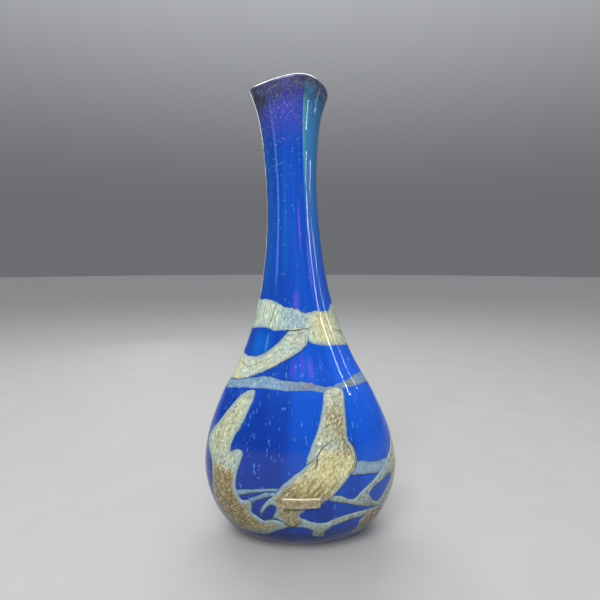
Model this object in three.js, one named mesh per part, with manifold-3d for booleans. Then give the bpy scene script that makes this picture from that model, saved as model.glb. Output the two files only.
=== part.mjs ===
// Hand blown art glass vase: a flattened bottle body, a long leaning neck and a wrapped lip.
// The wall is three layers of glass, from the inside out: a clear gather, a cobalt overlay and
// a clear casing that thickens into the foot. Frit shards are inlaid in the face of the cobalt,
// a smoky lip wrap closes the layers at the mouth, and a blank foil label sits on the casing.
//
// Millimetres, +Z up, origin under the middle of the foot. The front of the vase faces -Y.
// Places on the wall are given as an angle around it, in degrees from the front towards +X,
// and a height above the table.

import * as THREE from 'three';
import Module from 'manifold-3d';

const wasm = await Module();
wasm.setup();

// ---------------------------------------------------------------- driving dimensions

// Half-width and height of the outer skin, from the edge of the foot up to the lip.
const SKIN_STATIONS = [
  [36, 0], [60, 5], [82, 18], [96.5, 42], [103.7, 74], [98.5, 110], [82, 152], [58, 197],
  [39.5, 250], [29.5, 305], [26, 362], [28.5, 412], [33, 443], [37, 457], [40, 466],
];
const BELLY_HEIGHT = 74;        // the widest section, where the lean starts
const LEAN = 0.031;             // sideways travel of the axis per unit of height
const BODY_ROUNDNESS = 0.64;    // depth over width of the flattened body
const NECK_ROUNDNESS = 0.93;    // depth over width of the neck
const SHOULDER_START = 130;     // the section turns from flat to round over these heights
const SHOULDER_END = 330;
const LIP_START = 425;          // the lip's wave fades in above this height
const LIP_HEIGHT = 466;
const LIP_WAVE = 2;

const GAP = 0.3;                // clearance between neighbouring pieces
const CASING_WALL = 2.2;
const COBALT_WALL = 2;
const GATHER_WALL = 1.8;
const SHARD_WALL = 0.8;
const LABEL_WALL = 0.3;
const FOOT_EXTRA = 6.5;         // extra clear glass under the cobalt at the foot
const FOOT_FADE = 30;           // height over which that extra glass thins out
const LIP_CREST = 2.4;          // rise of the rounded lip above the skin's last station

const REST_RING = 0.68;         // inner edge of the flat resting ring, as a share of the foot
const DIMPLE_DEPTH = 2.6;       // ground hollow in the middle of the foot
const FLOOR_DOME = 2;           // rise of the inner floors at the middle

const SEGMENTS = 32;            // facets around the vase
const FINE_ROWS_BELOW = 60;     // rows are twice as close below this height
const LAYER_TOP_STATION = 13;   // the layers end here and the lip wrap begins
const SHARD_TOP_STATION = 9;    // no shard reaches higher than this station

// Depths of the layer faces under the outer skin.
const CASING_INNER = CASING_WALL;
const COBALT_OUTER = CASING_INNER + GAP;
const COBALT_INNER = COBALT_OUTER + COBALT_WALL;
const GATHER_OUTER = COBALT_INNER + GAP;
const GATHER_INNER = GATHER_OUTER + GATHER_WALL;

// ---------------------------------------------------------------- shard outlines

// Bands run right round the vase: [angle, lower height, upper height].
const SHOULDER_BAND = [
  [-170, 224, 252], [-140, 220, 247], [-115, 226, 252], [-90, 224, 254], [-67, 226, 255],
  [-48, 228, 257], [-30, 226, 256], [-14, 226, 249], [3, 227, 248], [15, 215, 243],
  [30, 211, 245], [45, 210, 244], [65, 208, 246], [88, 206, 247], [112, 212, 250],
  [135, 222, 246], [160, 226, 250],
];
const WAIST_BAND = [
  [-165, 158, 168], [-130, 154, 166], [-100, 160, 174], [-75, 163, 173], [-55, 167, 175],
  [-39, 168, 179], [-25, 169, 182], [-12, 168, 178], [10, 168, 176], [24, 166, 172],
  [38, 168, 174], [60, 168, 176], [90, 166, 175], [120, 160, 170], [150, 164, 172],
];

// Patches are closed outlines of [angle, height] points, run anticlockwise from outside.
const DIAGONAL_STRAP = [
  [-100, 200], [-105, 186], [-85, 180], [-58, 178], [-40, 181], [-26, 188], [-12, 196], [2, 203],
  [16, 216], [14, 228], [-7, 227], [-15, 220], [-33, 207], [-47, 201], [-70, 199],
];
const LEFT_LIMB = [
  [-36, 168], [-46, 164], [-56, 148], [-64, 132], [-74, 116], [-76, 106], [-66, 95], [-62, 86],
  [-61, 74], [-65, 58], [-67, 46], [-64, 33], [-56, 24], [-44, 21], [-30, 22], [-18, 28],
  [-10, 37], [-16, 44], [-23, 40], [-29, 46], [-28, 60], [-35, 60], [-36, 88], [-33, 104],
  [-37, 112], [-43, 108], [-42, 120], [-38, 133], [-35, 148], [-34, 160],
];
const CENTRE_LIMB = [
  [20, 165], [16, 152], [11, 132], [5, 112], [3, 100], [-2, 92], [-11, 79], [-15, 70],
  [-19, 63], [-23, 52], [-24, 45], [-16, 46], [-10, 41], [-5, 39], [0, 46], [6, 57],
  [18, 68], [24, 79], [29, 87], [34, 98], [33, 116], [32, 130], [35, 151], [38, 165],
];
const CENTRE_WINDOW = [[-15, 58], [-19, 53], [-20, 47], [-16, 48], [-14, 54]];
const CROSS_BRANCH = [[31, 86], [42, 85], [50, 82], [55, 87], [60, 92], [48, 95], [36, 98]];
const RIGHT_LIMB = [
  [88, 122], [72, 104], [62, 93], [56, 86], [50, 82], [38, 72], [31, 63], [22, 69],
  [16, 64], [26, 58], [37, 52], [50, 45], [68, 38], [75, 46], [82, 60], [92, 84], [98, 104],
];
const RIGHT_WINDOW = [[54, 74], [42, 65], [51, 52], [60, 60], [67, 74]];
const LOWER_STRAND = [
  [50, 45], [38, 46], [26, 45], [19, 41], [14, 38], [6, 41], [1, 46], [-5, 39], [-1, 34],
  [8, 31], [9, 24], [17, 23], [18, 30], [26, 35], [38, 37], [52, 40],
];
const FOOT_PATCH = [[41, 35], [42, 26], [52, 22], [66, 26], [72, 34], [56, 39]];
const UPPER_TRAIL = [[-37, 68], [-24, 72], [-11, 79], [-9, 83], [-21, 78], [-37, 73]];
const LOWER_TRAIL = [[-29, 58], [-23, 64], [-15, 69], [-14, 73], [-24, 68], [-31, 62]];
const BACK_STRAP = [
  [108, 182], [126, 190], [144, 196], [162, 204], [172, 216], [164, 228], [150, 228], [140, 212],
  [124, 206], [106, 198],
];
const BACK_LIMB = [
  [128, 165], [120, 148], [116, 126], [122, 104], [118, 82], [124, 60], [138, 40], [152, 32],
  [164, 40], [160, 58], [148, 72], [150, 92], [144, 112], [142, 132], [146, 150], [148, 166],
];
const BACK_LEFT_LIMB = [
  [-150, 162], [-154, 140], [-146, 118], [-150, 96], [-142, 78], [-128, 62], [-112, 52], [-96, 56],
  [-92, 72], [-108, 80], [-122, 92], [-128, 112], [-134, 134], [-132, 160],
];
const BACK_WEB = [
  [166, 44], [172, 34], [186, 26], [204, 24], [222, 28], [236, 36], [246, 48], [236, 58],
  [216, 64], [198, 72], [182, 66], [172, 58],
];
const BACK_WEB_WINDOW = [[186, 58], [184, 46], [196, 38], [212, 42], [214, 52], [200, 60]];
const LABEL_OUTLINE = [[-10, 57], [11, 57], [11, 69], [-10, 69]];

// ---------------------------------------------------------------- the outer skin

const SKIN = new THREE.CatmullRomCurve3(
  SKIN_STATIONS.map(([halfWidth, height]) => new THREE.Vector3(halfWidth, height, 0)),
  false,
  'centripetal',
);
const SPANS = SKIN_STATIONS.length - 1;

function roundness(height) {
  const turn = THREE.MathUtils.smoothstep(height, SHOULDER_START, SHOULDER_END);
  return THREE.MathUtils.lerp(BODY_ROUNDNESS, NECK_ROUNDNESS, turn);
}

function axisOffset(height) {
  return -LEAN * Math.max(height - BELLY_HEIGHT, 0);
}

// The lip is highest right of the front, dips at the left of the front and droops on the right.
function lipWave(angle, height) {
  const sway = -0.6 * Math.sin(angle) + 0.7 * Math.cos(2 * angle) - 0.2;
  const ripple = 1.4 * Math.sin(2 * angle) + 0.6 * Math.sin(3 * angle);
  return LIP_WAVE * (sway + ripple) * THREE.MathUtils.smoothstep(height, LIP_START, LIP_HEIGHT);
}

function skinPoint(angle, along) {
  const station = SKIN.getPoint(along);
  const halfWidth = station.x;
  const height = station.y;
  return new THREE.Vector3(
    axisOffset(height) + halfWidth * Math.sin(angle),
    -halfWidth * roundness(height) * Math.cos(angle),
    height + lipWave(angle, height),
  );
}

function skinNormal(angle, along) {
  const step = 0.001;
  const across = skinPoint(angle + step, along).sub(skinPoint(angle - step, along));
  const low = Math.max(along - step, 0);
  const high = Math.min(along + step, 1);
  const upward = skinPoint(angle, high).sub(skinPoint(angle, low));
  return across.cross(upward).normalize();
}

// Clear glass gathers at the foot, so every face below the casing's skin sits deeper there.
function footExtra(along) {
  const height = SKIN.getPoint(along).y;
  return FOOT_EXTRA * (1 - THREE.MathUtils.smoothstep(height, 0, FOOT_FADE));
}

function ring(along, depth, rise = 0) {
  const points = [];
  for (let facet = 0; facet < SEGMENTS; facet += 1) {
    const angle = (facet / SEGMENTS) * 2 * Math.PI;
    const point = skinPoint(angle, along).addScaledVector(skinNormal(angle, along), -depth);
    point.z += rise;
    points.push(point);
  }
  return points;
}

// Row places along the skin, from the foot up to a station.
function rowPlaces(topStation) {
  const places = [];
  for (let station = 0; station < topStation; station += 1) {
    places.push(station / SPANS);
    if (SKIN_STATIONS[station][1] < FINE_ROWS_BELOW) {
      places.push((station + 0.5) / SPANS);
    }
  }
  places.push(topStation / SPANS);
  return places;
}

function wallRings(topStation, depth, thickFoot) {
  return rowPlaces(topStation).map((along) => (
    ring(along, depth + (thickFoot ? footExtra(along) : 0))
  ));
}

// ---------------------------------------------------------------- solids from rings

// Skins a run of rings. Poles close both ends; without them the run closes on itself.
function solidFromRings(rings, poles) {
  const points = rings.flat();
  const triangles = [];
  const strips = poles ? rings.length - 1 : rings.length;
  for (let row = 0; row < strips; row += 1) {
    const here = row * SEGMENTS;
    const above = ((row + 1) % rings.length) * SEGMENTS;
    for (let facet = 0; facet < SEGMENTS; facet += 1) {
      const next = (facet + 1) % SEGMENTS;
      triangles.push([here + facet, here + next, above + next]);
      triangles.push([here + facet, above + next, above + facet]);
    }
  }
  if (poles) {
    const lastRing = (rings.length - 1) * SEGMENTS;
    points.push(...poles);
    for (let facet = 0; facet < SEGMENTS; facet += 1) {
      const next = (facet + 1) % SEGMENTS;
      triangles.push([points.length - 2, next, facet]);
      triangles.push([points.length - 1, lastRing + facet, lastRing + next]);
    }
  }
  return solidFromTriangles(points, triangles);
}

function solidFromTriangles(points, triangles) {
  const mesh = new wasm.Mesh({
    numProp: 3,
    vertProperties: Float32Array.from(points.flatMap((point) => point.toArray())),
    triVerts: Uint32Array.from(triangles.flat()),
  });
  mesh.merge();
  return new wasm.Manifold(mesh);
}

function scaledRing(points, share, height) {
  return points.map((point) => new THREE.Vector3(point.x * share, point.y * share, height));
}

// The floor under a layer face: two rings and a pole that rise a little to the middle.
function domedFloor(edgeRing) {
  const edge = edgeRing[0].z;
  const rings = [0.35, REST_RING].map((share) => (
    scaledRing(edgeRing, share, edge + FLOOR_DOME * (1 - share * share))
  ));
  return { rings, pole: new THREE.Vector3(0, 0, edge + FLOOR_DOME) };
}

// The underside of the foot: a flat resting ring around a shallow ground dimple.
function groundFoot(edgeRing) {
  const rings = [
    scaledRing(edgeRing, 0.35, DIMPLE_DEPTH * 0.8),
    scaledRing(edgeRing, REST_RING, 0),
  ];
  return { rings, pole: new THREE.Vector3(0, 0, DIMPLE_DEPTH) };
}

// A bottle-shaped layer of glass between two faces, open at the mouth.
function bottleLayer(outerWall, outerFloor, innerWall, innerFloor) {
  const rings = [
    ...outerFloor.rings,
    ...outerWall,
    ...innerWall.toReversed(),
    ...innerFloor.rings.toReversed(),
  ];
  return solidFromRings(rings, [outerFloor.pole, innerFloor.pole]);
}

// ---------------------------------------------------------------- the layers

function makeCasing() {
  const outer = wallRings(LAYER_TOP_STATION, 0, false);
  const inner = wallRings(LAYER_TOP_STATION, CASING_INNER, true);
  return bottleLayer(outer, groundFoot(outer[0]), inner, domedFloor(inner[0]));
}

function makeInnerLayer(outerDepth, innerDepth) {
  const outer = wallRings(LAYER_TOP_STATION, outerDepth, true);
  const inner = wallRings(LAYER_TOP_STATION, innerDepth, true);
  return bottleLayer(outer, domedFloor(outer[0]), inner, domedFloor(inner[0]));
}

// A rounded ring over the ends of the three layers, flush with the skin and with the bore.
function makeLipWrap() {
  const base = LAYER_TOP_STATION / SPANS;
  const middle = GATHER_INNER / 2;
  return solidFromRings([
    ring(base, 0, GAP),
    ring(1, 0),
    ring(1, middle * 0.4, LIP_CREST * 0.75),
    ring(1, middle, LIP_CREST),
    ring(1, middle * 1.6, LIP_CREST * 0.75),
    ring(1, GATHER_INNER),
    ring(base, GATHER_INNER, GAP),
  ], null);
}

// A closed sheet of glass between two depths of the wall, from which shards are cut.
function wallSheet(outerDepth, innerDepth, thickFoot) {
  const outer = wallRings(SHARD_TOP_STATION, outerDepth, thickFoot);
  const inner = wallRings(SHARD_TOP_STATION, innerDepth, thickFoot);
  return solidFromRings([...outer, ...inner.toReversed()], null);
}

// ---------------------------------------------------------------- shard cutters

// Cutters run from well inside the bore to well outside the skin, as shares of the half-width.
// The middle pair lies close to the wall, so that the cut follows the outline there.
const CUTTER_SHARES = [0.15, 0.8, 1.05, 4];

function halfWidthAt(height) {
  let low = 0;
  let high = 1;
  while (high - low > 1e-5) {
    const middle = (low + high) / 2;
    if (SKIN.getPoint(middle).y < height) {
      low = middle;
    } else {
      high = middle;
    }
  }
  return SKIN.getPoint(low).x;
}

function cutterPoint([degrees, height], share) {
  const angle = THREE.MathUtils.degToRad(degrees);
  const reach = halfWidthAt(height) * share;
  return new THREE.Vector3(
    axisOffset(height) + reach * Math.sin(angle),
    -reach * roundness(height) * Math.cos(angle),
    height,
  );
}

// A cutter for a band that runs right round the wall.
function bandCutter(band, grow) {
  const points = [];
  const triangles = [];
  const corners = CUTTER_SHARES.length * 2;
  band.forEach(([degrees, low, high], index) => {
    CUTTER_SHARES.forEach((share) => points.push(cutterPoint([degrees, low - grow], share)));
    CUTTER_SHARES.toReversed().forEach((share) => {
      points.push(cutterPoint([degrees, high + grow], share));
    });
    const here = index * corners;
    const next = ((index + 1) % band.length) * corners;
    for (let corner = 0; corner < corners; corner += 1) {
      const turn = (corner + 1) % corners;
      triangles.push([here + corner, next + corner, next + turn]);
      triangles.push([here + corner, next + turn, here + turn]);
    }
  });
  return solidFromTriangles(points, triangles);
}

// Moves an outline outwards, in millimetres along the wall.
function growOutline(outline, grow) {
  const count = outline.length;
  return outline.map(([degrees, height], index) => {
    const perDegree = THREE.MathUtils.degToRad(halfWidthAt(height));
    const before = outline[(index + count - 1) % count];
    const after = outline[(index + 1) % count];
    const entry = new THREE.Vector2((degrees - before[0]) * perDegree, height - before[1]);
    const exit = new THREE.Vector2((after[0] - degrees) * perDegree, after[1] - height);
    const run = entry.normalize().add(exit.normalize()).normalize();
    const stretch = 1 / Math.max(Math.abs(run.dot(exit)), 0.4);
    const shift = grow * stretch;
    return [degrees + (run.y * shift) / perDegree, height - run.x * shift];
  });
}

// A cutter for a closed outline, with windows left uncut.
function patchCutter(outline, windows, grow) {
  const loops = [
    growOutline(outline, grow),
    ...windows.map((edge) => growOutline(edge.toReversed(), grow)),
  ];
  const flat = loops.map((loop) => loop.map(([degrees, height]) => new THREE.Vector2(degrees, height)));
  const places = loops.flat();
  const points = CUTTER_SHARES.flatMap((share) => places.map((place) => cutterPoint(place, share)));
  const levels = CUTTER_SHARES.length;
  const far = (levels - 1) * places.length;
  const triangles = [];
  THREE.ShapeUtils.triangulateShape(flat[0], flat.slice(1)).forEach(([a, b, c]) => {
    triangles.push([far + a, far + b, far + c]);
    triangles.push([a, c, b]);
  });
  let first = 0;
  loops.forEach((loop) => {
    for (let level = 0; level < levels - 1; level += 1) {
      const inner = level * places.length + first;
      const outer = inner + places.length;
      loop.forEach((place, index) => {
        const next = (index + 1) % loop.length;
        triangles.push([inner + index, inner + next, outer + next]);
        triangles.push([inner + index, outer + next, outer + index]);
      });
    }
    first += loop.length;
  });
  return solidFromTriangles(points, triangles);
}

// ---------------------------------------------------------------- pieces

const CREAM = 0xbfc3a8;
const OLIVE_GOLD = 0xa8955a;
const PALE_BLUE = 0x9fb6c4;

// Name, finish colour and cutter of each shard, in the order in which the shards were laid.
// Each one stops short of those before it.
const SHARDS = [
  ['shoulder_band', CREAM, (grow) => bandCutter(SHOULDER_BAND, grow)],
  ['waist_band', CREAM, (grow) => bandCutter(WAIST_BAND, grow)],
  ['diagonal_strap', CREAM, (grow) => patchCutter(DIAGONAL_STRAP, [], grow)],
  ['left_limb', CREAM, (grow) => patchCutter(LEFT_LIMB, [], grow)],
  ['centre_limb', OLIVE_GOLD, (grow) => patchCutter(CENTRE_LIMB, [CENTRE_WINDOW], grow)],
  ['cross_branch', PALE_BLUE, (grow) => patchCutter(CROSS_BRANCH, [], grow)],
  ['right_limb', CREAM, (grow) => patchCutter(RIGHT_LIMB, [RIGHT_WINDOW], grow)],
  ['lower_strand', CREAM, (grow) => patchCutter(LOWER_STRAND, [], grow)],
  ['foot_patch', OLIVE_GOLD, (grow) => patchCutter(FOOT_PATCH, [], grow)],
  ['upper_trail', PALE_BLUE, (grow) => patchCutter(UPPER_TRAIL, [], grow)],
  ['lower_trail', PALE_BLUE, (grow) => patchCutter(LOWER_TRAIL, [], grow)],
  ['back_strap', CREAM, (grow) => patchCutter(BACK_STRAP, [], grow)],
  ['back_limb', OLIVE_GOLD, (grow) => patchCutter(BACK_LIMB, [], grow)],
  ['back_left_limb', CREAM, (grow) => patchCutter(BACK_LEFT_LIMB, [], grow)],
  ['back_web', OLIVE_GOLD, (grow) => patchCutter(BACK_WEB, [BACK_WEB_WINDOW], grow)],
];

function addPiece(group, name, solid, look) {
  const mesh = solid.getMesh();
  const geometry = new THREE.BufferGeometry();
  geometry.setAttribute('position', new THREE.BufferAttribute(mesh.vertProperties, 3));
  geometry.setIndex(new THREE.BufferAttribute(mesh.triVerts, 1));
  geometry.computeVertexNormals();
  const piece = new THREE.Mesh(geometry, new THREE.MeshStandardMaterial(look));
  piece.name = name;
  group.add(piece);
}

const vase = new THREE.Group();
vase.name = 'art_glass_vase';

const clearGlass = { roughness: 0.04, metalness: 0, transparent: true };
addPiece(vase, 'clear_casing', makeCasing(), { ...clearGlass, color: 0xdfeef2, opacity: 0.3 });
addPiece(
  vase,
  'inner_gather',
  makeInnerLayer(GATHER_OUTER, GATHER_INNER),
  { ...clearGlass, color: 0xcfe0f0, opacity: 0.4 },
);
addPiece(vase, 'lip_wrap', makeLipWrap(), { ...clearGlass, color: 0x3c464e, opacity: 0.85 });

const shardSheet = wallSheet(COBALT_OUTER, COBALT_OUTER + SHARD_WALL, true);
const pocketSheet = wallSheet(COBALT_OUTER - GAP, COBALT_OUTER + SHARD_WALL + GAP, true);
let cobalt = makeInnerLayer(COBALT_OUTER, COBALT_INNER);
let laid = null;
SHARDS.forEach(([name, color, cutter]) => {
  const grown = cutter(GAP);
  let shard = shardSheet.intersect(cutter(0));
  if (laid) {
    shard = shard.subtract(laid);
  }
  laid = laid ? laid.add(grown) : grown;
  cobalt = cobalt.subtract(pocketSheet.intersect(grown));
  addPiece(vase, name, shard, { color, roughness: 0.25, metalness: 0 });
});
addPiece(vase, 'cobalt_overlay', cobalt, { color: 0x0a38c8, roughness: 0.08, metalness: 0 });

const label = wallSheet(-GAP - LABEL_WALL, -GAP, false).intersect(patchCutter(LABEL_OUTLINE, [], 0));
addPiece(vase, 'foil_label', label, { color: 0xcbbf98, roughness: 0.4, metalness: 0.3 });

export default vase;
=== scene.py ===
"""Hand blown art glass vase: the finished look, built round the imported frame.

The wall is drawn as fine parallel skins of one blown shape. A place on it is an angle round the
vase, in degrees from the front towards +X, a height, and a depth under the outer skin. Lengths
on the wall are in millimetres until they become mesh points, which are in metres.
"""

import math

import bpy
import numpy as np
from mathutils import Matrix, Vector, noise
from mathutils.geometry import delaunay_2d_cdt


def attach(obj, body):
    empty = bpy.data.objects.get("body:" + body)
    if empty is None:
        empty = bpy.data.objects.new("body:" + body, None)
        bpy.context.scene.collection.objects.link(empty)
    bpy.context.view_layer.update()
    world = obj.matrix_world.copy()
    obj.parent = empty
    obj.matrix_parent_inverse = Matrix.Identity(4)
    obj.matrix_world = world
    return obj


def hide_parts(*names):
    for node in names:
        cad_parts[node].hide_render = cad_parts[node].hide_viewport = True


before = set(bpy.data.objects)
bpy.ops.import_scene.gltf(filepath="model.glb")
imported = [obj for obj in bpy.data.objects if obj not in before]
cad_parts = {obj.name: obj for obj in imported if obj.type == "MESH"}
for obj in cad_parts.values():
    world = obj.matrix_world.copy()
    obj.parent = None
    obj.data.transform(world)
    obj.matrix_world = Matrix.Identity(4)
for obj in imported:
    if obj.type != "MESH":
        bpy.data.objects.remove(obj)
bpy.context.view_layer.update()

MM = 0.001

# ---------------------------------------------------------------- the blown shape

# Half-width and height of the outer skin, from the edge of the foot up to the lip.
SKIN_STATIONS = [
    (36, 0), (60, 5), (82, 18), (96.5, 42), (103.7, 74), (98.5, 110), (82, 152), (58, 197),
    (39.5, 250), (29.5, 305), (26, 362), (28.5, 412), (33, 443), (37, 457), (40, 466),
]
SPAN_SAMPLES = 40         # points drawn from one station to the next
BELLY_HEIGHT = 74
LEAN = 0.031              # sideways travel of the neck for each unit of height
BODY_ROUNDNESS, NECK_ROUNDNESS = 0.64, 0.93   # depth of the shape as a share of its width
SHOULDER_START, SHOULDER_END = 130, 330
LIP_START, LIP_HEIGHT = 425, 466
LIP_WAVE = 2              # scale of the lip's rise and fall
LIP_CREST = 2.4           # height of the rounded lip above the end of the skin
LAYER_TOP = 460.4         # height at which the casing, cobalt and gather end
COLLAR_FOOT = 446         # height at which the lip collar starts, inside the casing
COLLAR_TAIL = 1.5         # length of the collar's turned-in lower edge
COLLAR_PROUD = 0.16       # how far it stands out once it emerges

# Depths under the outer skin.
COBALT_DEPTH = 2.5
CASING_BACK = COBALT_DEPTH + 0.5
COBALT_BACK = COBALT_DEPTH + 2.0
GATHER_DEPTH = 4.8
BORE_DEPTH = 6.6
SHARD_TOP = 1.8
SHARD_BOTTOM = 2.46

FOOT_EXTRA, FOOT_FADE = 6.5, 30   # added depth at the foot, and the height where it ends
REST_RING = 0.68          # outer edge of the ground dimple, as a share of the foot
DIMPLE_DEPTH = 2.6
FLOOR_DOME = 2


def smoothstep(low, high, value):
    """0 below low, 1 above high, smooth between."""
    share = np.clip((np.asarray(value, float) - low) / (high - low), 0, 1)
    return share * share * (3 - 2 * share)


def centripetal(stations, samples, closed=False):
    """Points along a centripetal Catmull-Rom curve through the stations."""
    points = np.array(stations, float)
    if closed:
        points = np.vstack([points[-1], points, points[0], points[1]])
    else:
        points = np.vstack([2 * points[0] - points[1], points, 2 * points[-1] - points[-2]])
    curve = []
    for index in range(1, len(points) - 2):
        p0, p1, p2, p3 = points[index - 1:index + 3]
        t1 = math.sqrt(np.linalg.norm(p1 - p0))
        t2 = t1 + math.sqrt(np.linalg.norm(p2 - p1))
        t3 = t2 + math.sqrt(np.linalg.norm(p3 - p2))
        for step in range(samples):
            t = t1 + (t2 - t1) * step / samples
            a1 = (t1 - t) / t1 * p0 + t / t1 * p1
            a2 = (t2 - t) / (t2 - t1) * p1 + (t - t1) / (t2 - t1) * p2
            a3 = (t3 - t) / (t3 - t2) * p2 + (t - t2) / (t3 - t2) * p3
            b1 = (t2 - t) / t2 * a1 + t / t2 * a2
            b2 = (t3 - t) / (t3 - t1) * a2 + (t - t1) / (t3 - t1) * a3
            curve.append((t2 - t) / (t2 - t1) * b1 + (t - t1) / (t2 - t1) * b2)
    if not closed:
        curve.append(points[-2])
    return np.array(curve)


SKIN = centripetal(SKIN_STATIONS, SPAN_SAMPLES)
SKIN_RUN = np.concatenate([[0], np.cumsum(np.linalg.norm(np.diff(SKIN, axis=0), axis=1))])


def run_at(height):
    """Length along the skin, from the edge of the foot, at a height."""
    return np.interp(height, SKIN[:, 1], SKIN_RUN)


def height_at(run):
    return np.interp(run, SKIN_RUN, SKIN[:, 1])


def half_width(height):
    return np.interp(height, SKIN[:, 1], SKIN[:, 0])


def per_degree(height):
    """Length along the wall, roughly, for one degree round it."""
    return math.radians(1) * half_width(height)


def roundness(height):
    turn = smoothstep(SHOULDER_START, SHOULDER_END, height)
    return BODY_ROUNDNESS + (NECK_ROUNDNESS - BODY_ROUNDNESS) * turn


def axis_offset(height):
    """How far the leaning neck has moved sideways."""
    return -LEAN * np.maximum(height - BELLY_HEIGHT, 0)


def lip_wave(turn, height):
    """The rise and fall of the hand-trimmed lip."""
    sway = -0.6 * np.sin(turn) + 0.7 * np.cos(2 * turn) - 0.2
    ripple = 1.4 * np.sin(2 * turn) + 0.6 * np.sin(3 * turn)
    return LIP_WAVE * (sway + ripple) * smoothstep(LIP_START, LIP_HEIGHT, height)


def hand_wander(turn, height):
    """The slow unevenness that hand shaping leaves, in millimetres of half-width."""
    wander = 0.22 * np.sin(2 * turn + height / 31)
    wander = wander + 0.16 * np.sin(3 * turn - height / 19 + 1.3)
    wander = wander + 0.08 * np.sin(7 * turn + height / 90 + 0.6)
    return wander * smoothstep(4, 30, height)


def skin_point(angle, run):
    """Points on the outer skin, in millimetres, for angles in degrees and runs up the skin."""
    turn = np.radians(angle)
    width = np.interp(run, SKIN_RUN, SKIN[:, 0])
    height = height_at(run)
    width = width + hand_wander(turn, height)
    return np.stack([
        axis_offset(height) + width * np.sin(turn),
        -width * roundness(height) * np.cos(turn),
        height + lip_wave(turn, height),
    ], axis=-1)


def wall_point(angle, run, depth):
    """Points at a depth under the skin, square to it."""
    angle, run, depth = np.broadcast_arrays(*(np.asarray(v, float) for v in (angle, run, depth)))
    across = skin_point(angle + 0.05, run) - skin_point(angle - 0.05, run)
    low, high = np.clip(run - 0.8, 0, SKIN_RUN[-1]), np.clip(run + 0.8, 0, SKIN_RUN[-1])
    upward = skin_point(angle, high) - skin_point(angle, low)
    normal = np.cross(across, upward)
    normal /= np.linalg.norm(normal, axis=-1, keepdims=True)
    return skin_point(angle, run) - normal * depth[..., None]


def foot_extra(run):
    """Extra depth of the inner skins near the foot, where the glass is thick."""
    return FOOT_EXTRA * (1 - smoothstep(0, FOOT_FADE, height_at(run)))


def meridian(angle, height):
    """A direction round the vase and a height share, kept on each point for the materials."""
    turn = np.radians(angle)
    return np.stack([np.sin(turn), -np.cos(turn), np.asarray(height, float) / LIP_HEIGHT], axis=-1)


# ---------------------------------------------------------------- mesh building

def make_mesh(name, points, faces, material, meridians=None, edge=None):
    mesh = bpy.data.meshes.new(name)
    mesh.from_pydata((np.asarray(points) * MM).tolist(), [], faces)
    if meridians is not None:
        layer = mesh.attributes.new("meridian", "FLOAT_VECTOR", "POINT")
        layer.data.foreach_set("vector", np.asarray(meridians, np.float32).ravel())
    if edge is not None:
        layer = mesh.attributes.new("edge", "FLOAT", "POINT")
        layer.data.foreach_set("value", np.asarray(edge, np.float32))
    mesh.polygons.foreach_set("use_smooth", [True] * len(mesh.polygons))
    mesh.materials.append(material)
    mesh.update()
    piece = bpy.data.objects.new(name, mesh)
    bpy.context.collection.objects.link(piece)
    return piece


def finish_piece(piece, slot, *nodes):
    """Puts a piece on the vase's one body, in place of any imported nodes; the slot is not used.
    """
    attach(piece, "root")
    if nodes:
        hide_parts(*nodes)
    return piece


def ring_faces(rows, columns, closed):
    """Quads between rings of points; closed joins the last ring to the first."""
    faces = []
    for row in range(rows if closed else rows - 1):
        here = row * columns
        above = ((row + 1) % rows) * columns
        for column in range(columns):
            beside = (column + 1) % columns
            faces.append((here + column, here + beside, above + beside, above + column))
    return faces


SEGMENTS = 192
ANGLES = np.arange(SEGMENTS) * 360 / SEGMENTS


def wall_rings(depth, thick_foot, rows):
    """Rings up a skin to the ends of the layers; the last two are close, for a crisp edge."""
    end = run_at(LAYER_TOP)
    rings, ways = [], []
    for run in np.append(np.linspace(0, end - 0.3, rows - 1), end):
        extra = foot_extra(run) if thick_foot else 0
        rings.append(wall_point(ANGLES, run, depth + extra))
        ways.append(meridian(ANGLES, np.full(SEGMENTS, height_at(run))))
    return rings, ways


def floor_rings(edge_ring, profile):
    """Rings inside an edge ring; profile gives a share of its size and a height for each."""
    rings = []
    for share, height in profile:
        ring = edge_ring * share
        ring[:, 2] = height
        rings.append(ring)
    return rings


def domed_floor(edge_ring, steps=10):
    """Rings of a layer's floor, which domes up slightly, and its middle point."""
    level = edge_ring[:, 2].mean()
    profile = []
    for step in range(1, steps):
        share = step / steps
        rise = level + FLOOR_DOME * (1 - share ** 2)
        blend = share ** 6
        profile.append((share, rise * (1 - blend) + edge_ring[:, 2] * blend))
    return floor_rings(edge_ring, profile), np.array([0, 0, level + FLOOR_DOME])


def ground_foot(edge_ring):
    """Rings of the flat resting ring and the ground dimple, and the dimple's middle point."""
    profile = []
    for share in (0.12, 0.26, 0.4, 0.52, 0.6, 0.65):
        hollow = DIMPLE_DEPTH * math.sqrt(max(0, 1 - (share / REST_RING) ** 2))
        profile.append((share, hollow))
    profile += [(REST_RING, 0.0), (0.8, 0.0), (0.93, 0.0)]
    return floor_rings(edge_ring, profile), np.array([0, 0, DIMPLE_DEPTH])


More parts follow.
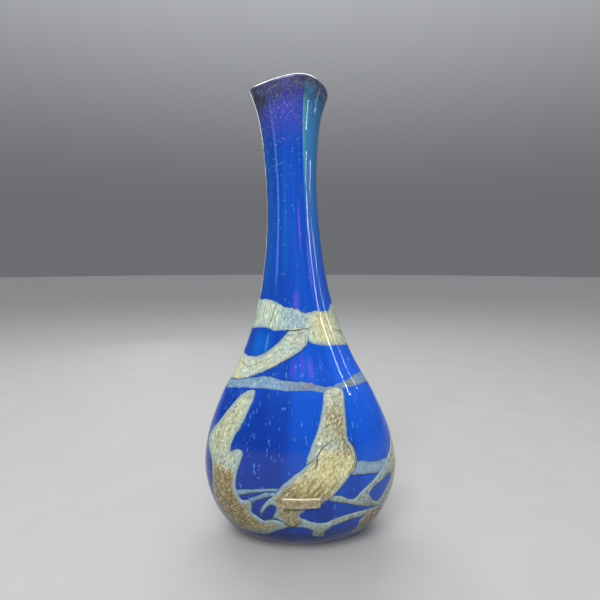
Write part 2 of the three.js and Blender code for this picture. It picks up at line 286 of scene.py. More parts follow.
def bottle(name, outer, outer_floor, inner, inner_floor, material):
    """A closed layer of glass, open at the mouth."""
    outer_rings, outer_ways = outer
    inner_rings, inner_ways = inner
    floor_way = meridian(ANGLES, np.zeros(SEGMENTS))
    rings = outer_floor[0] + outer_rings + inner_rings[::-1] + inner_floor[0][::-1]
    ways = [floor_way] * len(outer_floor[0]) + outer_ways + inner_ways[::-1]
    ways += [floor_way] * len(inner_floor[0])
    points = np.vstack(rings + [outer_floor[1][None], inner_floor[1][None]])
    ways = np.vstack(ways + [np.zeros((2, 3))])
    faces = ring_faces(len(rings), SEGMENTS, closed=False)
    last = (len(rings) - 1) * SEGMENTS
    for column in range(SEGMENTS):
        beside = (column + 1) % SEGMENTS
        faces.append((len(points) - 2, beside, column))
        faces.append((len(points) - 1, last + column, last + beside))
    return make_mesh(name, points, faces, material, ways)


# ---------------------------------------------------------------- shader helpers

class Wiring:
    """Adds nodes to a tree and links them, so that a material reads as a list of steps."""

    def __init__(self, tree):
        self.tree = tree

    def set(self, socket, value):
        if isinstance(value, bpy.types.NodeSocket):
            self.tree.links.new(value, socket)
        else:
            socket.default_value = value

    def give(self, node, **values):
        """Sets a node's inputs by their labels, written with _ for each space."""
        for label, value in values.items():
            self.set(node.inputs[label.replace("_", " ")], value)
        return node

    def node(self, kind, **settings):
        node = self.tree.nodes.new(kind)
        for key, value in settings.items():
            setattr(node, key, value)
        return node

    def group(self, tree, **values):
        """Places a node group and returns its outputs."""
        return self.give(self.node("ShaderNodeGroup", node_tree=tree), **values).outputs

    def math(self, operation, *values):
        node = self.node("ShaderNodeMath", operation=operation)
        for socket, value in zip(node.inputs, values):
            self.set(socket, value)
        return node.outputs[0]

    def times(self, product, *factors):
        for factor in factors:
            product = self.math("MULTIPLY", product, factor)
        return product

    def line(self, value, slope, offset):
        """value * slope + offset."""
        return self.math("MULTIPLY_ADD", value, slope, offset)

    def rest(self, mask):
        """What a mask leaves over."""
        return self.math("SUBTRACT", 1.0, mask)

    def fade(self, value, low, high):
        """0 below low, 1 above high, smooth between."""
        node = self.node("ShaderNodeMapRange", interpolation_type="SMOOTHSTEP")
        return self.give(node, Value=value, From_Min=low, From_Max=high).outputs[0]

    def fade_out(self, value, low, high):
        return self.rest(self.fade(value, low, high))

    def mix(self, factor, first, second):
        """Blends two colours; a plain one is given as (red, green, blue)."""
        node = self.node("ShaderNodeMix", data_type="RGBA")
        self.set(node.inputs[0], factor)
        for socket, color in ((node.inputs[6], first), (node.inputs[7], second)):
            self.set(socket, (*color, 1) if isinstance(color, tuple) else color)
        return node.outputs[2]

    def noise(self, place, scale, detail=2.0, roughness=0.5, output="Fac"):
        node = self.give(
            self.node("ShaderNodeTexNoise"),
            Vector=place, Scale=scale, Detail=detail, Roughness=roughness,
        )
        return node.outputs[output]

    def cells(self, place, scale, feature="F1"):
        """Irregular cells: the outputs hold a distance and a colour for each."""
        node = self.node("ShaderNodeTexVoronoi", feature=feature)
        return self.give(node, Vector=place, Scale=scale).outputs

    def parts(self, vector):
        node = self.node("ShaderNodeSeparateXYZ")
        self.set(node.inputs[0], vector)
        return node.outputs

    def channels(self, color):
        node = self.node("ShaderNodeSeparateColor")
        self.set(node.inputs[0], color)
        return node.outputs

    def vector(self, *parts):
        node = self.node("ShaderNodeCombineXYZ")
        for socket, part in zip(node.inputs, parts):
            self.set(socket, part)
        return node.outputs[0]

    def attribute(self, name, output):
        return self.node("ShaderNodeAttribute", attribute_name=name).outputs[output]

    def place(self):
        return self.node("ShaderNodeTexCoord").outputs["Object"]

    def way(self):
        """The meridian vector that each point of the wall carries."""
        return self.attribute("meridian", "Vector")

    def bump(self, height, strength, distance):
        node = self.node("ShaderNodeBump")
        return self.give(node, Strength=strength, Distance=distance, Height=height).outputs[0]


def new_material(name):
    material = bpy.data.materials.new(name)
    material.use_nodes = True
    material.node_tree.nodes.clear()
    w = Wiring(material.node_tree)
    output = w.node("ShaderNodeOutputMaterial")
    shader = w.node("ShaderNodeBsdfPrincipled")
    w.set(output.inputs[0], shader.outputs[0])
    return material, shader, w


FLOAT, COLOR, VECTOR = "NodeSocketFloat", "NodeSocketColor", "NodeSocketVector"


def new_group(name, vectors, values, outputs, kind=FLOAT):
    """A shader node group: its tree, wiring, the sockets given to it, and its output node."""
    tree = bpy.data.node_groups.new(name, "ShaderNodeTree")
    for label in vectors:
        tree.interface.new_socket(label, in_out="INPUT", socket_type=VECTOR)
    for label, default in values.items():
        socket = tree.interface.new_socket(label, in_out="INPUT", socket_type=FLOAT)
        socket.default_value = default
    for label in outputs:
        tree.interface.new_socket(label, in_out="OUTPUT", socket_type=kind)
    w = Wiring(tree)
    return tree, w, w.node("NodeGroupInput").outputs, w.node("NodeGroupOutput")


def mm(length):
    """A length up the wall in millimetres, as the share of the lip's height the shaders use."""
    return length / LIP_HEIGHT


def angle_and_height(w, way):
    """Angle in degrees and height share from a meridian vector."""
    x, y, height = w.parts(way)
    turn = w.math("ARCTAN2", x, w.times(y, -1.0))
    return w.times(turn, 180 / math.pi), height


# ---------------------------------------------------------------- shared effects

def cord_streak_group():
    """Streaks of stretched glass that follow the meridians: 0 to 1."""
    tree, w, given, out = new_group(
        "Stretched cords", ["Meridian"], {"Fineness": 4.0, "Length": 1.5}, ["Broad", "Fine"],
    )
    x, y, height = w.parts(given["Meridian"])
    for label, factor in (("Broad", 1.0), ("Fine", 4.5)):
        spread = w.times(given["Fineness"], factor)
        place = w.vector(
            w.times(x, spread), w.times(y, spread), w.times(height, given["Length"]),
        )
        w.set(out.inputs[label], w.fade(w.noise(place, 1.0, 3.0), 0.24, 0.76))
    return tree


def streak_mask_group():
    """A single soft streak at one angle on the wall, between two heights."""
    tree, w, given, out = new_group(
        "Streak", [],
        {"Angle": 0.0, "Height": 0.0, "Centre": 0.0, "Width": 4.0, "Bottom": 0.5, "Top": 1.0,
         "Softness": 0.08},
        ["Mask"],
    )
    off = w.math("ABSOLUTE", w.math("SUBTRACT", given["Angle"], given["Centre"]))
    across = w.fade_out(w.math("DIVIDE", off, given["Width"]), 0.2, 1.0)
    low, high, soft = given["Bottom"], given["Top"], given["Softness"]
    rise = w.fade(given["Height"], low, w.math("ADD", low, soft))
    fall = w.fade_out(given["Height"], w.math("SUBTRACT", high, soft), high)
    w.give(out, Mask=w.times(across, w.times(rise, fall)))
    return tree


def frit_grain_group():
    """Crushed glass melted together: speckle masks and a height for the grains."""
    tree, w, given, out = new_group(
        "Frit grain", ["Position"], {"Size": 900.0, "Stretch": 0.5, "Slope": 0.0},
        ["Grain", "Dark", "Light", "Blotch", "Crazing", "Height"],
    )
    leaning = w.give(
        w.node("ShaderNodeVectorRotate", rotation_type="Y_AXIS"),
        Vector=given["Position"], Angle=w.times(given["Slope"], -1.0),
    )
    x, y, z = w.parts(leaning.outputs[0])
    spot, size = w.vector(x, y, w.times(z, given["Stretch"])), given["Size"]
    grains = w.cells(spot, size)
    tone = w.channels(grains["Color"])
    soft = w.noise(spot, w.times(size, 0.4), 5.0, 0.65)
    shift = w.node("ShaderNodeVectorMath", operation="MULTIPLY_ADD")
    w.set(shift.inputs[0], w.noise(spot, w.times(size, 0.12), output="Color"))
    w.set(shift.inputs[1], (0.006, 0.006, 0.006))
    w.set(shift.inputs[2], spot)
    veins = w.cells(shift.outputs[0], w.times(size, 0.22), "DISTANCE_TO_EDGE")
    w.give(
        out,
        Grain=tone[0],
        Dark=w.fade(w.line(tone[1], 0.16, soft), 0.56, 0.72),
        Light=w.fade(w.line(tone[2], 0.16, w.rest(soft)), 0.60, 0.74),
        Blotch=w.noise(spot, w.times(size, 0.07)),
        Crazing=w.fade_out(veins["Distance"], 0.01, 0.07),
        Height=w.rest(grains["Distance"]),
    )
    return tree


CORDS = cord_streak_group()
STREAK = streak_mask_group()
FRIT = frit_grain_group()

# Streaks in the cobalt: angle, half-width in degrees, lower and upper height, tint, strength.
CORD_TINTS = [
    (-62, 16, 250, 480, (0.002, 0.095, 0.34), 0.75),
    (-46, 24, 192, 232, (0.0, 0.14, 0.52), 0.45),
    (-34, 4, 255, 480, (0.10, 0.27, 0.52), 0.5),
    (-36, 2, 200, 226, (0.12, 0.32, 0.62), 0.5),
    (-16, 6, 262, 420, (0.004, 0.12, 0.42), 0.45),
    (15, 3, 296, 362, (0.14, 0.08, 0.60), 0.75),
    (2, 6, 240, 270, (0.13, 0.08, 0.56), 0.55),
    (-3, 5, 174, 202, (0.07, 0.05, 0.52), 0.5),
    (5, 4, 178, 208, (0.10, 0.07, 0.56), 0.45),
    (13, 4, 174, 205, (0.12, 0.09, 0.58), 0.55),
    (24, 3, 180, 208, (0.03, 0.14, 0.66), 0.4),
    (31, 3, 250, 330, (0.12, 0.16, 0.80), 0.5),
    (140, 9, 200, 460, (0.03, 0.14, 0.50), 0.6),
    (-130, 6, 180, 440, (0.10, 0.07, 0.55), 0.5),
    (-165, 10, 250, 470, (0.01, 0.16, 0.42), 0.6),
    (172, 4, 240, 470, (0.10, 0.27, 0.40), 0.5),
]


def add_streaks(w, color, angle, height, streaks, share=1.0, softness=0.08):
    """Tints a colour with a list of streaks; share masks them all."""
    for centre, width, low, high, tint, strength in streaks:
        streak = w.group(
            STREAK, Angle=angle, Height=height, Centre=float(centre), Width=float(width),
            Bottom=mm(low), Top=mm(high), Softness=min(softness, 0.45 * mm(high - low)),
        )
        color = w.mix(w.times(streak["Mask"], strength, share), color, tint)
    return color


def drawn_cobalt(w, angle, height, cords, drawn):
    """Cobalt that pales upwards, with painted light brightening the right side of the front, and
    with broad and fine cords drawn through it.
    """
    # Painted light: the right side of the front is painted lighter, as where light passes through
    # the wall; at the back this lift drops to 0.4 of its strength.
    front = w.line(w.fade(w.math("ABSOLUTE", angle), 100.0, 180.0), -0.6, 1.0)
    side = w.times(w.fade(angle, -30.0, 60.0), front)
    tone = w.line(side, 0.42, w.line(w.fade(height, 0.14, 0.42), 0.30, -0.12))
    tone = w.line(cords["Broad"], 0.38, tone)
    color = w.mix(w.fade(tone, -0.2, 1.2), (0.0, 0.020, 0.22), (0.004, 0.115, 0.66))
    fine = w.times(cords["Fine"], w.fade(height, 0.35, 0.6), 0.55)
    color = w.mix(fine, color, (0.0, 0.045, 0.27))
    on_neck = w.fade(height, 0.5, 0.75)
    color = w.mix(w.times(drawn["Broad"], on_neck, 0.4), color, (0.010, 0.12, 0.62))
    color = w.mix(w.times(w.rest(drawn["Fine"]), on_neck, 0.5), color, (0.0, 0.03, 0.24))
    return add_streaks(w, color, angle, height, CORD_TINTS)


def add_veil(w, color, angle, past, height, drawn):
    """A teal veil past a sharp edge, and a green strip along that edge under the lip."""
    veil = w.times(w.fade(past, 0.0, 1.5), w.fade_out(angle, 85.0, 120.0))
    veil = w.times(veil, w.fade(height, mm(250), mm(450)), w.line(drawn["Fine"], 0.35, 0.6))
    color = w.mix(veil, color, (0.045, 0.24, 0.42))
    strip = w.times(w.fade(past, 0.0, 1.2), w.fade_out(past, 3.0, 7.0))
    strip = w.times(strip, w.fade(height, mm(360), mm(430)), w.fade_out(height, mm(448), mm(456)))
    return w.mix(w.times(strip, 0.75), color, (0.12, 0.38, 0.25))


def add_smoke(w, color, place, angle, past, height, lifted, broad):
    """Purple and then dark smoke, gathering towards the lip."""
    purple = w.times(w.fade(lifted, mm(400), mm(452)), w.fade_out(past, -2.0, 0.0), 0.62)
    color = w.mix(purple, color, (0.085, 0.06, 0.38))
    left = w.fade_out(angle, -58.0, -12.0)
    edge = w.line(left, mm(-13), mm(459))
    smoke = w.fade(w.math("SUBTRACT", lifted, edge), mm(-9), mm(6))
    cloud = w.fade(w.noise(place, 210.0, 4.0, 0.7), 0.36, 0.66)
    right = w.fade(past, -2.0, 0.5)
    at_crest = w.fade(w.line(right, mm(5), height), mm(463.5), mm(466.5))
    smoke = w.math("MAXIMUM", w.times(smoke, w.line(cloud, -0.35, 1.0)), at_crest)
    dark = w.mix(broad, (0.034, 0.042, 0.052), (0.058, 0.048, 0.14))
    dark = w.mix(w.times(cloud, 0.5), dark, (0.12, 0.135, 0.17))
    return w.mix(w.times(smoke, 0.94), color, dark)


def add_bubbles(w, color, place, height, lifted):
    """Fine bubbles, thickest just under the lip."""
    bubbles = w.cells(place, 900.0)
    crowd = w.times(w.fade(lifted, mm(426), mm(456)), w.fade_out(height, mm(460), mm(467)))
    chance = w.math("SUBTRACT", w.channels(bubbles["Color"])[0], w.line(crowd, -0.55, 1.0))
    dot = w.times(w.fade_out(bubbles["Distance"], 0.2, 0.42), w.fade(chance, -0.04, 0.16), 0.9)
    return w.mix(dot, color, (0.40, 0.44, 0.54))


def wall_colour_group():
    """The cobalt wall's colour, with its cords, its teal veil and the smoke near the lip."""
    tree, w, given, out = new_group("Wall colour", ["Meridian", "Position"], {}, ["Color"], COLOR)
    way, place = given["Meridian"], given["Position"]
    angle, height = angle_and_height(w, way)
    cords = w.group(CORDS, Meridian=way, Fineness=3.4, Length=2.2)
    drawn = w.group(CORDS, Meridian=way, Fineness=9.0, Length=1.2)
    # The veil's edge swings round the neck as it comes down.
    past = w.math("SUBTRACT", angle, w.line(height, -30.0, 54.0))
    drift = w.math("SUBTRACT", w.noise(place, 120.0, 4.0, 0.6), 0.5)
    lifted = w.line(drift, mm(46), height)
    color = drawn_cobalt(w, angle, height, cords, drawn)
    color = add_veil(w, color, angle, past, height, drawn)
    color = add_smoke(w, color, place, angle, past, height, lifted, cords["Broad"])
    w.give(out, Color=add_bubbles(w, color, place, height, lifted))
    return tree


WALL_COLOUR = wall_colour_group()


# ---------------------------------------------------------------- materials

def wall_material(name):
    """The cobalt wall's colour under a dull surface, as it looks inside the clear casing."""
    material, shader, w = new_material(name)
    wall = w.group(WALL_COLOUR, Meridian=w.way(), Position=w.place())
    w.give(shader, Base_Color=wall["Color"], Roughness=0.3, Specular_IOR_Level=0.1)
    return material, shader, w


def smoky_lip_material():
    """Smoky glass, nearly opaque: dull inside the casing and glossy once it emerges."""
    material, shader, w = wall_material("smoky_lip_glass")
    _, height = angle_and_height(w, w.way())
    emerged = w.fade(height, mm(LAYER_TOP - 2), mm(LAYER_TOP))
    w.give(shader, Coat_Weight=emerged, Coat_Roughness=0.03)
    return material


GRAIN_SIZE = 1150.0
PALE_RIM = (0.26, 0.38, 0.47)


def frit_material(
    name, body, tints, stretch=0.45, slope=0.6, dark_share=0.3, light_share=0.75, rim_width=2.6,
    rim=PALE_RIM,
):
    """Melted frit: pale blue rims and a cream body, tinted with gold or brown in places."""
    material, shader, w = new_material(name)
    angle, height = angle_and_height(w, w.way())
    grain = w.group(FRIT, Position=w.place(), Size=GRAIN_SIZE, Stretch=stretch, Slope=slope)
    edge = w.attribute("edge", "Fac")
    wander = w.line(grain["Blotch"], 6.0, -3.0)
    inward = w.fade(w.math("ADD", edge, wander), 0.6, rim_width + 1.2)

    # Grains of the body colour, with tints whose edges are broken up grain by grain.
    color = w.mix(grain["Grain"], body, tuple(c * 1.35 for c in body))
    stray = w.math("SUBTRACT", grain["Blotch"], 0.5)
    ragged = w.line(w.math("SUBTRACT", grain["Grain"], 0.5), mm(5), height)
    ragged = w.line(stray, mm(16), ragged)
    swung = w.line(stray, 16.0, angle)
    color = add_streaks(w, color, swung, ragged, tints, inward, softness=0.02)

    # Dark specks and pale sparks stay off the rim.
    specks = w.times(grain["Dark"], w.times(inward, dark_share))
    color = w.mix(specks, color, (0.085, 0.055, 0.022))
    sparks = w.times(grain["Light"], w.times(inward, light_share))
    color = w.mix(sparks, color, (0.74, 0.72, 0.52))
    rim_tone = w.mix(grain["Grain"], tuple(c * 0.8 for c in rim), rim)
    color = w.mix(w.times(w.rest(inward), 0.85), color, rim_tone)
    color = w.mix(w.times(grain["Crazing"], 0.38), color, (0.10, 0.085, 0.05))
    color = w.mix(w.times(w.fade_out(edge, 0.0, 0.45), 0.35), color, (0.08, 0.14, 0.26))
    w.give(
        shader, Base_Color=color, Roughness=0.45, Specular_IOR_Level=0.15,
        Normal=w.bump(grain["Height"], 0.25, 0.0004),
    )
    return material


def lamp_open_glass(name, tint, roughness, wave):
    """Refracting glass that lets lamp light straight through to the colour beneath."""
    material, shader, w = new_material(name)
    cords = w.group(CORDS, Meridian=w.way(), Fineness=2.4, Length=3.0)
    w.give(
        shader, Base_Color=w.mix(cords["Fine"], tint, (1, 1, 1)), Roughness=roughness, IOR=1.46,
        Transmission_Weight=1.0, Normal=w.bump(cords["Broad"], 1.0, wave),
    )
    output = shader.outputs[0].links[0].to_socket
    blend = w.node("ShaderNodeMixShader")
    w.set(blend.inputs[0], w.node("ShaderNodeLightPath").outputs["Is Shadow Ray"])
    w.set(blend.inputs[1], shader.outputs[0])
    w.set(blend.inputs[2], w.node("ShaderNodeBsdfTransparent").outputs[0])
    w.set(output, blend.outputs[0])
    return material


def patchy_material(name, scale, detail, low, high, dark, pale, roughness):
    """Two tones in soft patches, as on gas seeds of which only some catch the light."""
    material, shader, w = new_material(name)
    tone = w.fade(w.noise(w.place(), scale, detail), low, high)
    w.give(shader, Base_Color=w.mix(tone, dark, pale), Roughness=roughness)
    return material


def foil_material():
    """Worn pale gold foil with a stippled panel inside a plain border."""
    material, shader, w = new_material("worn_foil")
    place = w.place()
    inside_panel = w.fade(w.attribute("edge", "Fac"), 1.6, 1.9)
    dots = w.times(inside_panel, w.fade(w.cells(place, 1100.0)["Distance"], 0.32, 0.5))
    wear = w.fade(w.noise(place, 260.0, 5.0, 0.7), 0.44, 0.6)
    color = w.mix(inside_panel, (0.54, 0.50, 0.33), (0.46, 0.41, 0.24))
    color = w.mix(dots, color, (0.30, 0.24, 0.12))
    color = w.mix(w.times(wear, 0.45), color, (0.66, 0.64, 0.50))
    w.give(
        shader, Base_Color=color, Roughness=w.line(wear, 0.3, 0.32),
        Metallic=w.line(wear, -0.5, 0.55), Normal=w.bump(w.rest(dots), 0.5, 0.00015),
    )
    return material


COBALT = wall_material("cobalt_glass")[0]
CASING = lamp_open_glass("clear_casing_glass", (0.95, 0.98, 1.0), 0.02, 0.00012)
GATHER = lamp_open_glass("inner_gather_glass", (0.62, 0.74, 1.0), 0.03, 0.0001)
LIP = smoky_lip_material()
FIELD_SEEDS = patchy_material(
    "field_seeds", 130.0, 2.0, 0.38, 0.62, (0.0, 0.085, 0.46), (0.05, 0.21, 0.60), 0.3,
)
NECK_SEEDS = patchy_material(
    "neck_seeds", 130.0, 2.0, 0.38, 0.62, (0.05, 0.16, 0.50), (0.46, 0.52, 0.72), 0.3,
)
CRACKS = patchy_material(
    "shard_cracks", 300.0, 3.0, 0.35, 0.7, (0.035, 0.03, 0.022), (0.15, 0.13, 0.09), 0.6,
)
FOIL = foil_material()

# Each frit: its body colour, then tints as (angle, half-width, lower and upper height, tint,
# strength).
GOLD, BROWN, STRAW = (0.42, 0.34, 0.12), (0.21, 0.14, 0.05), (0.56, 0.52, 0.25)
ICE, ROSE_GREY = (0.23, 0.37, 0.48), (0.17, 0.17, 0.24)
SHOULDER_FRIT = frit_material(
    "shoulder_frit", (0.34, 0.43, 0.36),
    [(-2, 26, 205, 262, ICE, 0.75), (42, 34, 200, 258, STRAW, 0.7),
     (120, 60, 200, 262, STRAW, 0.4)],
    stretch=0.3, slope=0.1, dark_share=0.35, rim_width=2.4,
)
STRAP_FRIT = frit_material(
    "strap_frit", (0.33, 0.40, 0.35),
    [(-75, 22, 165, 205, STRAW, 0.5), (-30, 30, 178, 205, STRAW, 0.25),
     (5, 12, 195, 232, (0.34, 0.33, 0.30), 0.5)],
    stretch=0.5, rim_width=3.4,
)
WAIST_FRIT = frit_material(
    "waist_frit", (0.13, 0.24, 0.36),
    [(18, 34, 155, 190, ROSE_GREY, 0.7), (50, 12, 155, 190, BROWN, 0.6)],
    stretch=0.5, dark_share=0.2, light_share=0.35, rim_width=1.6, rim=(0.13, 0.24, 0.42),
)
LEFT_FRIT = frit_material(
    "left_limb_frit", (0.30, 0.38, 0.34),
    [(-52, 60, 96, 170, STRAW, 0.4), (-45, 80, 5, 94, GOLD, 0.9), (-50, 40, 24, 92, BROWN, 0.75)],
    dark_share=0.6, rim_width=7.0,
)
CENTRE_FRIT = frit_material(
    "centre_limb_frit", (0.31, 0.38, 0.35),
    [(18, 30, 116, 172, (0.42, 0.42, 0.27), 0.7), (27, 12, 118, 156, BROWN, 0.6),
     (22, 40, 56, 118, STRAW, 0.9), (28, 7, 104, 126, BROWN, 0.55), (5, 9, 98, 120, ICE, 0.6),
     (0, 26, 30, 92, GOLD, 0.75), (-6, 22, 30, 84, BROWN, 0.5), (14, 12, 62, 76, BROWN, 0.65)],
    dark_share=0.55, rim_width=5.0,
)
RIGHT_FRIT = frit_material(
    "right_limb_frit", (0.22, 0.31, 0.34),
    [(92, 34, 56, 126, STRAW, 0.9), (90, 26, 60, 110, GOLD, 0.4), (80, 20, 36, 70, BROWN, 0.6),
     (34, 10, 44, 62, GOLD, 0.4)],
    dark_share=0.5, rim_width=1.5, rim=(0.32, 0.38, 0.38),
)
STRAND_FRIT = frit_material(
    "strand_frit", (0.29, 0.37, 0.37), [(14, 8, 18, 34, GOLD, 0.6), (52, 16, 30, 52, GOLD, 0.5)],
    dark_share=0.4, rim_width=2.0,
)
FOOT_FRIT = frit_material(
    "foot_patch_frit", (0.30, 0.32, 0.24),
    [(62, 180, 5, 80, GOLD, 0.6), (60, 40, 5, 48, BROWN, 0.8), (210, 60, 5, 80, GOLD, 0.7)],
    dark_share=0.6, rim_width=1.6,
)
BLUE_GREY = frit_material(
    "pale_blue_frit", (0.17, 0.28, 0.38), [(46, 8, 80, 100, (0.26, 0.34, 0.36), 0.6)],
    dark_share=0.15, light_share=0.15, rim_width=1.6, rim=(0.14, 0.25, 0.40),
)


# ---------------------------------------------------------------- glass layers

BACK_ROWS = 120           # rings up the hidden back of a layer


def layer(name, slot, face, underside, back_depth, material):
    """A layer of glass between its face and a back at a depth, with a domed floor inside."""
    back = wall_rings(back_depth, True, BACK_ROWS)
    piece = bottle(name, face, underside(face[0][0]), back, domed_floor(back[0][0]), material)
    finish_piece(piece, slot, slot)


def build_layers():
    layer("casing", "clear_casing", wall_rings(0, False, 220), ground_foot, CASING_BACK, CASING)
    layer("cobalt_layer", "cobalt_overlay", wall_rings(COBALT_DEPTH, True, 200), domed_floor,
          COBALT_BACK, COBALT)
    layer("inner_bubble", "inner_gather", wall_rings(GATHER_DEPTH, True, BACK_ROWS), domed_floor,
          BORE_DEPTH, GATHER)


def build_lip():
    """A rounded collar that swallows the ends of the layers and stands slightly proud of them."""
    crest_run = SKIN_RUN[-1]
    foot, seam = run_at(COLLAR_FOOT), run_at(LAYER_TOP)
    tail = foot - COLLAR_TAIL
    rings, heights = [], []

    def add_ring(run, depth, crest=0.0):
        ring = wall_point(ANGLES, run, depth)
        ring[:, 2] += crest
        rings.append(ring)
        heights.append(height_at(run) + crest)

    # Inside the casing: a tail, then a long easy ramp from the cobalt out to the skin.
    add_ring(tail, COBALT_DEPTH + 0.6)
    almost_out, ramp_end = 0.05, seam - 0.9
    for share in np.linspace(0, 1, 14):
        depth = COBALT_DEPTH - (COBALT_DEPTH - almost_out) * smoothstep(0, 1, share)
        add_ring(foot + (ramp_end - foot) * share, depth)

    # Above the ends of the layers: proud of the skin, over the crest and down the bore.
    bare_start = seam - 0.5
    for share in np.linspace(0, 1, 8):
        swell = math.sin(math.pi / 2 * (0.25 + 0.75 * share))
        add_ring(bare_start + (crest_run - bare_start) * share, -COLLAR_PROUD * swell)
    middle = BORE_DEPTH / 2
    for step in range(1, 16):
        sweep = math.pi * step / 16
        depth = middle - (middle + COLLAR_PROUD) * math.cos(sweep)
        add_ring(crest_run, depth, LIP_CREST * math.sin(sweep))
    for share in np.linspace(1, 0.1, 7):
        add_ring(foot + (crest_run - foot) * share, BORE_DEPTH + 0.3 * share)
    add_ring(tail, COBALT_BACK + 0.8)
    ways = [meridian(ANGLES, np.full(SEGMENTS, height)) for height in heights]
    faces = ring_faces(len(rings), SEGMENTS, closed=True)
    lip = make_mesh("lip_collar", np.vstack(rings), faces, LIP, np.vstack(ways))
    finish_piece(lip, "lip_wrap", "lip_wrap")


# ---------------------------------------------------------------- frit shards

# Bands run right round the vase: (angle, lower height, upper height).
SHOULDER_BAND = [
    (-170, 224, 252), (-140, 220, 247), (-115, 226, 252), (-90, 224, 254), (-67, 225, 255),
    (-48, 227, 256), (-38, 227, 255), (-30, 225, 254), (-20, 225, 250), (-8, 226, 248),
    (3, 224, 247), (12, 217, 243), (20, 212, 243), (30, 210, 245), (45, 209, 244),
    (58, 208, 244), (70, 207, 249), (88, 206, 251), (112, 212, 250), (135, 222, 246),
    (160, 226, 250),
]
WAIST_BAND = [
    (-165, 158, 168), (-130, 154, 166), (-100, 160, 174), (-75, 162, 177), (-55, 166, 177),
    (-39, 168, 179), (-25, 169, 181), (-12, 168, 178), (10, 168, 176), (24, 166, 171),
    (38, 168, 174), (60, 168, 178), (78, 167, 178), (100, 163, 174), (120, 160, 170),
    (150, 164, 172),
]

# Patches are closed outlines of (angle, height) points.
DIAGONAL_STRAP = [
    (-100, 198), (-108, 186), (-88, 172), (-64, 173), (-48, 177), (-36, 182), (-24, 188),
    (-12, 195), (2, 203), (13, 212), (16, 224), (8, 228), (-7, 227), (-16, 219), (-33, 205),
    (-47, 199), (-70, 198),
]
LEFT_LIMB = [
    (-42, 166), (-35, 166), (-34, 158), (-36, 147), (-39, 131), (-43, 118), (-44, 107),
    (-40, 110), (-36, 110), (-34, 107), (-35, 98), (-37, 86), (-38, 74), (-37, 66), (-35, 60),
    (-30, 61), (-28, 57), (-29, 48), (-26, 44), (-22, 40), (-17, 43), (-11, 41), (-5, 37),
    (-14, 29), (-25, 20), (-36, 18), (-47, 19), (-56, 24), (-64, 33), (-67, 47), (-64, 60),
    (-62, 76), (-63, 88), (-69, 96), (-77, 106), (-74, 117), (-64, 132), (-56, 148), (-48, 161),
]
CENTRE_LIMB = [
    (21, 167), (17, 153), (12, 134), (7, 118), (4, 106), (3, 99), (-3, 91), (-10, 80), (-14, 71),
    (-19, 63), (-23, 53), (-24, 45), (-19, 41), (-15, 44), (-12, 42), (-8, 37), (-3, 36), (1, 43),
    (0, 49), (4, 56), (11, 60), (18, 68), (24, 78), (29, 87), (34, 98), (34, 113), (31, 121),
    (32, 131), (35, 151), (38, 167),
]
CENTRE_WINDOW = [(-14, 57), (-16, 59), (-20, 53), (-23, 45), (-20, 43), (-16, 47)]
CROSS_BRANCH = [(29, 87), (36, 85), (50, 82), (60, 84), (64, 92), (48, 95), (32, 99)]
RIGHT_LIMB = [
    (92, 118), (80, 108), (70, 99), (62, 93), (56, 86), (50, 82), (46, 78), (38, 71), (31, 62),
    (28, 63), (22, 68), (15, 68), (16, 64), (26, 58), (36, 52), (44, 48), (56, 43), (70, 37),
    (78, 45), (86, 60), (94, 84), (99, 104),
]
RIGHT_WINDOW = [(66, 74), (54, 73), (43, 65), (43, 62), (50, 52), (55, 52), (60, 60), (66, 69)]
LOWER_STRAND = [
    (64, 43), (50, 45), (38, 46), (26, 45), (19, 42), (14, 39), (7, 41), (1, 45), (-6, 40),
    (-9, 35), (0, 34), (7, 30), (8, 22), (17, 20), (16, 26), (19, 32), (26, 36), (34, 38),
    (44, 38), (60, 37),
]
FOOT_PATCH = [
    (78, 43), (56, 43), (44, 39), (40, 34), (41, 26), (39, 20), (46, 13), (54, 16), (66, 22),
    (76, 32),
]
UPPER_TRAIL = [
    (-40, 62), (-30, 67), (-22, 71), (-12, 74), (-6, 78), (-15, 77), (-26, 74), (-39, 68),
]
LOWER_TRAIL = [
    (-30, 57), (-23, 63), (-17, 67), (-10, 68), (-10, 72), (-19, 72), (-25, 67), (-31, 61),
]
BACK_STRAP = [
    (108, 182), (126, 190), (144, 196), (162, 204), (172, 216), (164, 228), (150, 228),
    (140, 212), (124, 206), (106, 198),
]
BACK_LIMB = [
    (128, 165), (120, 148), (116, 126), (122, 104), (118, 82), (124, 60), (138, 40),
    (152, 32), (164, 40), (160, 58), (148, 72), (150, 92), (144, 112), (142, 132), (146, 150),
    (148, 166),
]
BACK_LEFT_LIMB = [
    (-150, 162), (-154, 140), (-146, 118), (-150, 96), (-142, 78), (-128, 62), (-112, 52),
    (-96, 56), (-92, 72), (-108, 80), (-122, 92), (-128, 112), (-134, 134), (-132, 160),
]
BACK_WEB = [
    (166, 44), (172, 34), (186, 26), (204, 24), (222, 28), (236, 36), (246, 48), (236, 58),
    (216, 64), (198, 72), (182, 66), (172, 58),
]
BACK_WEB_WINDOW = [(186, 58), (184, 46), (196, 38), (212, 42), (214, 52), (200, 60)]
LABEL_OUTLINE = [(-10, 57), (11, 58), (11, 69), (-10, 69)]

